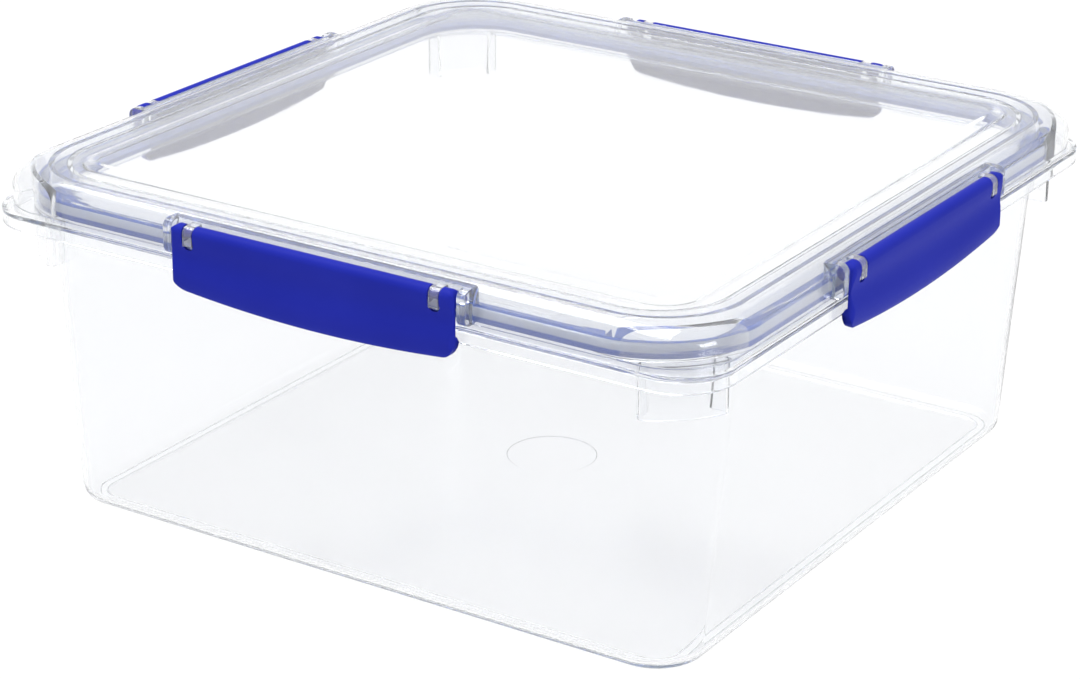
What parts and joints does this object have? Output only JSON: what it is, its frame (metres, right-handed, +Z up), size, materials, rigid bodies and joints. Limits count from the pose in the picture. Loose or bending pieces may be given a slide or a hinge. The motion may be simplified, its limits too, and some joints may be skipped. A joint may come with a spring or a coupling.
{
  "type": "food storage container",
  "caption": "Square clear food storage container with a flanged tub, a domed lid with a raised panel, a blue seal ring and a hinged clip on each side.",
  "frame": {"origin": "middle of the tub's underside, on the surface it stands on", "axes": "+Z up; -Y through the front clip, the left one of the two clips that face the viewer; +X through the right clip"},
  "size_m": [0.3034, 0.3034, 0.1302],
  "materials": {
    "tub_plastic": "clear moulded polypropylene, gloss outside",
    "lid_plastic": "clear moulded polypropylene, gloss",
    "seal_rubber": "soft blue elastomer, satin",
    "clip_plastic": "royal blue moulded polypropylene, satin gloss"
  },
  "bodies": {
    "tub": {"tub": "tub_plastic"},
    "lid": {"lid": "lid_plastic", "seal": "seal_rubber"},
    "clip_front": {"clip_front": "clip_plastic"},
    "clip_right": {"clip_right": "clip_plastic"},
    "clip_back": {"clip_back": "clip_plastic"},
    "clip_left": {"clip_left": "clip_plastic"}
  },
  "joints": [
    {"name": "lid_lift", "type": "slide", "parent": "tub", "child": "lid", "axis": [0, 0, 1], "range_m": [0, 0.16]},
    {"name": "clip_front_hinge", "type": "hinge", "parent": "lid", "child": "clip_front", "pos_m": [0, -0.1488, 0.1258], "axis": [-1, 0, 0], "range_deg": [0, 110]},
    {"name": "clip_right_hinge", "type": "hinge", "parent": "lid", "child": "clip_right", "pos_m": [0.1488, 0, 0.1258], "axis": [0, -1, 0], "range_deg": [0, 110]},
    {"name": "clip_back_hinge", "type": "hinge", "parent": "lid", "child": "clip_back", "pos_m": [0, 0.1488, 0.1258], "axis": [1, 0, 0], "range_deg": [0, 110]},
    {"name": "clip_left_hinge", "type": "hinge", "parent": "lid", "child": "clip_left", "pos_m": [-0.1488, 0, 0.1258], "axis": [0, 1, 0], "range_deg": [0, 110]}
  ]
}
